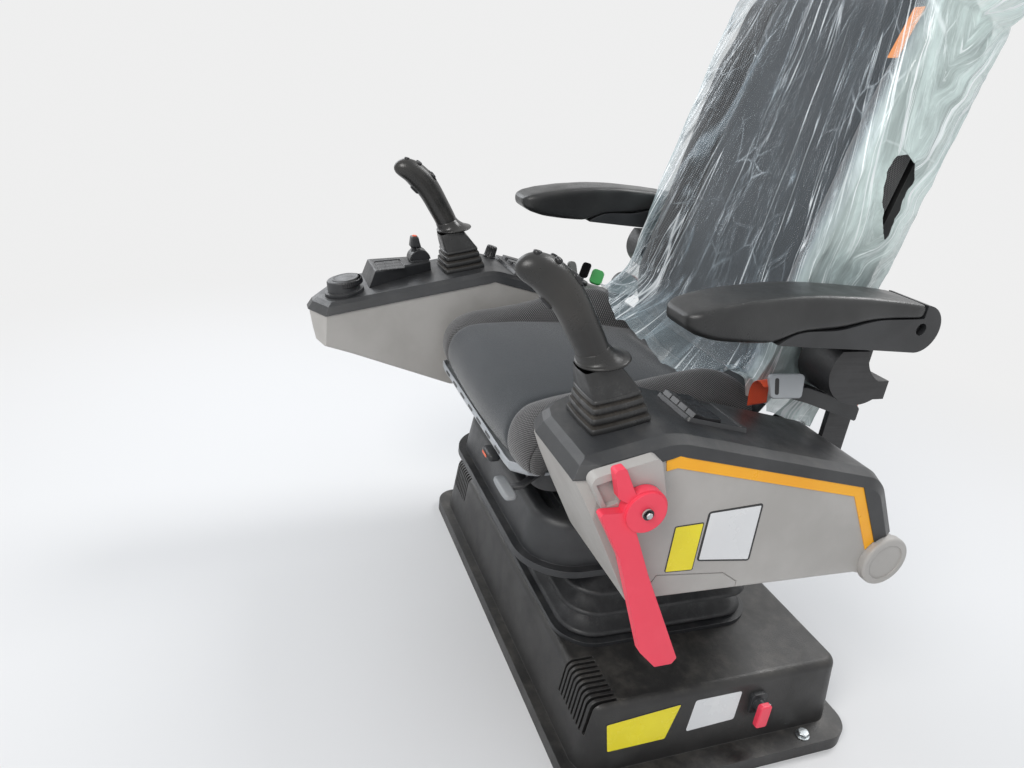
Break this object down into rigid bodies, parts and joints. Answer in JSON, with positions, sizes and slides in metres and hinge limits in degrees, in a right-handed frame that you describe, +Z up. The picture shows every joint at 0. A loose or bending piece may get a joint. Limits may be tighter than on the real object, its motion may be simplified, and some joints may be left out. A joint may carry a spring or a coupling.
{
  "type": "excavator operator station",
  "caption": "Suspended operator seat between two control consoles with joysticks and a lock lever, on a moulded base, for a crawler excavator cab",
  "frame": {"origin": "Floor plane, in the middle of the four floor bolts of the base cover", "axes": "The operator faces -Y, +X is the operator's left, +Z is up"},
  "size_m": [0.9511, 0.9194, 1.3951],
  "materials": {
    "cover_black": "fine-grained black moulded plastic",
    "shell_grey": "fine-grained warm light grey moulded plastic",
    "lever_red": "satin moulded red plastic",
    "stripe_amber": "plain amber film strip",
    "rocker_black": "satin black rockers",
    "boot_rubber": "soft black moulded rubber",
    "grip_black": "soft-touch black grip",
    "ring_steel": "plated steel",
    "frame_black": "black powder coat on steel",
    "rail_steel": "greased rolled steel",
    "armrest_pad": "moulded black foam skin",
    "seat_fabric": "fine woven dark grey cloth",
    "bolster_knit": "coarse grey and black knit",
    "back_plastic": "black moulded seat back",
    "film_clear": "crumpled clear polyethylene film"
  },
  "bodies": {
    "base": {"base_cover": "cover_black", "isolator_mount": "cover_black", "isolator_flag": "lever_red", "suspension_tray": "cover_black", "suspension_bellows": "boot_rubber"},
    "platform": {"suspension_housing": "cover_black", "station_rails": "rail_steel"},
    "carrier": {"station_sliders": "rail_steel", "carrier_frame": "frame_black", "seat_rails": "rail_steel", "left_armrest_post": "frame_black", "right_armrest_post": "frame_black", "right_console_cover": "cover_black", "right_console_shell": "shell_grey", "right_pivot_cap": "shell_grey", "right_boot_skirt": "boot_rubber", "jog_dial": "cover_black", "keypad_block": "cover_black", "throttle_knob": "cover_black", "switch_row": "cover_black", "belt_buckle": "cover_black", "belt_retractor": "cover_black"},
    "left_console": {"left_console_cover": "cover_black", "left_console_shell": "shell_grey", "left_pivot_cap": "shell_grey", "left_boot_skirt": "boot_rubber", "console_stripe": "stripe_amber", "lever_bracket": "shell_grey", "switch_bank": "cover_black", "switch_rockers": "rocker_black"},
    "lever": {"lock_lever": "lever_red"},
    "left_ring": {"left_gimbal": "ring_steel", "left_boot_cone": "boot_rubber"},
    "left_stick": {"left_stick_shaft": "grip_black", "left_grip": "grip_black"},
    "right_ring": {"right_gimbal": "ring_steel", "right_boot_cone": "boot_rubber"},
    "right_stick": {"right_stick_shaft": "grip_black", "right_grip": "grip_black"},
    "seat": {"seat_sliders": "rail_steel", "seat_pan": "frame_black", "seat_cushion": "seat_fabric", "seat_bolster_left": "bolster_knit", "seat_bolster_right": "bolster_knit"},
    "backrest": {"back_cushion": "seat_fabric", "back_bolster_left": "bolster_knit", "back_bolster_right": "bolster_knit", "back_shell": "back_plastic", "headrest": "seat_fabric", "back_film": "film_clear"},
    "left_armrest": {"left_armrest_pad": "armrest_pad", "left_armrest_housing": "cover_black"},
    "right_armrest": {"right_armrest_pad": "armrest_pad", "right_armrest_housing": "cover_black"}
  },
  "joints": [
    {"name": "suspension_travel", "type": "slide", "parent": "base", "child": "platform", "axis": [0, 0, 1], "range_m": [-0.03, 0.03], "stiffness_N_per_m": 24000, "springref_m": 0.0455, "deforming": ["suspension_bellows"]},
    {"name": "station_slide", "type": "slide", "parent": "platform", "child": "carrier", "axis": [0, 1, 0], "range_m": [-0.03, 0.03]},
    {"name": "seat_slide", "type": "slide", "parent": "carrier", "child": "seat", "axis": [0, 1, 0], "range_m": [-0.03, 0.03]},
    {"name": "recline", "type": "hinge", "parent": "seat", "child": "backrest", "pos_m": [0, 0.112, 0.508], "axis": [-1, 0, 0], "range_deg": [-4, 20]},
    {"name": "console_tilt", "type": "hinge", "parent": "carrier", "child": "left_console", "pos_m": [0.357, 0.157, 0.421], "axis": [-1, 0, 0], "range_deg": [0, 8]},
    {"name": "lock_lever_turn", "type": "hinge", "parent": "left_console", "child": "lever", "pos_m": [0.476, -0.289, 0.571], "axis": [-1, 0, 0], "range_deg": [0, 65]},
    {"name": "left_stick_pitch", "type": "hinge", "parent": "left_console", "child": "left_ring", "pos_m": [0.35, -0.28097, 0.61725], "axis": [-1, 0, 0], "range_deg": [-18, 18], "stiffness_Nm_per_rad": 6, "deforming": ["left_boot_skirt"]},
    {"name": "left_stick_roll", "type": "hinge", "parent": "left_ring", "child": "left_stick", "pos_m": [0.35, -0.28097, 0.61725], "axis": [0, 0.9763, 0.2164], "range_deg": [-18, 18], "stiffness_Nm_per_rad": 6, "deforming": ["left_boot_cone"]},
    {"name": "right_stick_pitch", "type": "hinge", "parent": "carrier", "child": "right_ring", "pos_m": [-0.35, -0.28097, 0.61725], "axis": [-1, 0, 0], "range_deg": [-18, 18], "stiffness_Nm_per_rad": 6, "deforming": ["right_boot_skirt"]},
    {"name": "right_stick_roll", "type": "hinge", "parent": "right_ring", "child": "right_stick", "pos_m": [-0.35, -0.28097, 0.61725], "axis": [0, 0.9763, 0.2164], "range_deg": [-18, 18], "stiffness_Nm_per_rad": 6, "deforming": ["right_boot_cone"]},
    {"name": "left_armrest_swing", "type": "hinge", "parent": "carrier", "child": "left_armrest", "pos_m": [0.31, 0.205, 0.742], "axis": [-1, 0, 0], "range_deg": [0, 95]},
    {"name": "right_armrest_swing", "type": "hinge", "parent": "carrier", "child": "right_armrest", "pos_m": [-0.31, 0.205, 0.772], "axis": [-1, 0, 0], "range_deg": [0, 95]}
  ]
}
